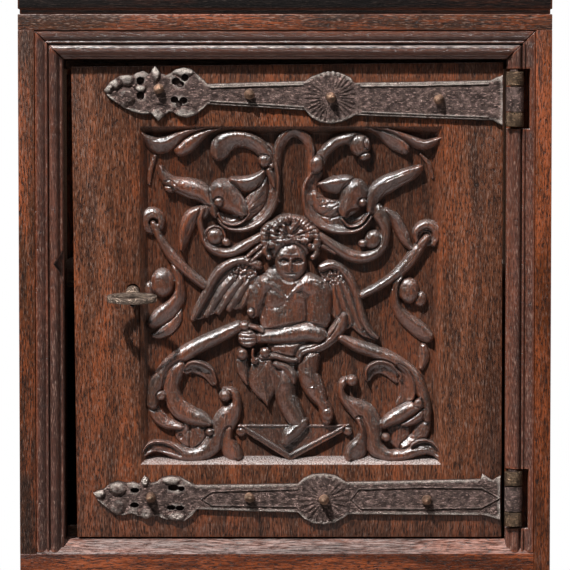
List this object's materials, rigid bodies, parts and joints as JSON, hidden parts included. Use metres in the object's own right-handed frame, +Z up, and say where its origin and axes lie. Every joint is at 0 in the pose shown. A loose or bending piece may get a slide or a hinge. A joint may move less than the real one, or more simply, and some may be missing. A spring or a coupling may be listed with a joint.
{
  "type": "court cupboard",
  "caption": "Narrow oak court cupboard: a moulded frame with one relief-carved door on pierced strap hinges, lock and key, on an open stand with a low shelf.",
  "frame": {"origin": "on the floor, under the middle of the outer box (the top board's overhang at the front included)", "axes": "+X to the right seen from the front, +Y from the front into the cupboard, +Z up"},
  "size_m": [0.586, 0.4, 1.24],
  "materials": {
    "oak_frame": "old wax, satin",
    "oak_moulding": "old wax, satin",
    "oak_door": "old wax, satin",
    "oak_carving": "polished old wax",
    "oak_inside": "dry, unwaxed",
    "wrought_iron": "forged, worn",
    "nail_iron": "forged, rubbed"
  },
  "bodies": {
    "cupboard": {"back_boards": "oak_inside", "cornice_front": "oak_frame", "cornice_left": "oak_frame", "cornice_right": "oak_frame", "door_stops": "oak_inside", "front_bottom_rail": "oak_frame", "front_stile_left": "oak_frame", "front_stile_right": "oak_frame", "front_top_rail": "oak_frame", "hinge_eye_lower": "wrought_iron", "hinge_eye_upper": "wrought_iron", "hinge_pin_lower": "wrought_iron", "hinge_pin_upper": "wrought_iron", "inner_shelf": "oak_inside", "moulding_left": "oak_moulding", "moulding_right": "oak_moulding", "moulding_top": "oak_moulding", "rear_bottom_rail": "oak_inside", "rear_post_left": "oak_frame", "rear_post_right": "oak_frame", "rear_top_rail": "oak_inside", "shelf_bearers": "oak_inside", "side_bottom_rail_left": "oak_frame", "side_bottom_rail_right": "oak_frame", "side_panel_left": "oak_frame", "side_panel_right": "oak_frame", "side_top_rail_left": "oak_frame", "side_top_rail_right": "oak_frame", "stand_low_rail_front": "oak_frame", "stand_low_rail_left": "oak_frame", "stand_low_rail_rear": "oak_frame", "stand_low_rail_right": "oak_frame", "stand_pegs": "oak_frame", "stand_post_front_left": "oak_frame", "stand_post_front_right": "oak_frame", "stand_post_rear_left": "oak_frame", "stand_post_rear_right": "oak_frame", "stand_shelf": "oak_frame", "stand_top_rail_front": "oak_frame", "stand_top_rail_left": "oak_frame", "stand_top_rail_rear": "oak_frame", "stand_top_rail_right": "oak_frame", "top_board": "oak_frame", "waist_board": "oak_frame"},
    "door": {"door_board": "oak_door", "carved_relief": "oak_carving", "door_batten_upper": "oak_inside", "door_batten_lower": "oak_inside", "strap_hinge_upper": "wrought_iron", "strap_hinge_lower": "wrought_iron", "domed_nails": "nail_iron", "lock_plate": "wrought_iron", "lock_cap": "wrought_iron", "bolt_guide": "wrought_iron", "bolt_spring": "wrought_iron"},
    "key": {"key": "wrought_iron"},
    "bolt": {"lock_bolt": "wrought_iron"}
  },
  "joints": [
    {"name": "door_swing", "type": "hinge", "parent": "cupboard", "child": "door", "pos_m": [0.2285, -0.166, 0.9], "axis": [0, 0, 1], "range_deg": [0, 110]},
    {"name": "key_turn", "type": "hinge", "parent": "door", "child": "key", "pos_m": [-0.152, -0.157, 0.91], "axis": [0, -1, 0], "range_deg": [0, 180]},
    {"name": "bolt_throw", "type": "slide", "parent": "door", "child": "bolt", "axis": [-1, 0, 0], "range_m": [0, 0.02]}
  ],
  "couplings": [
    {"joint": "bolt_throw", "follows": "key_turn", "m_per_rad": 0.006366}
  ]
}
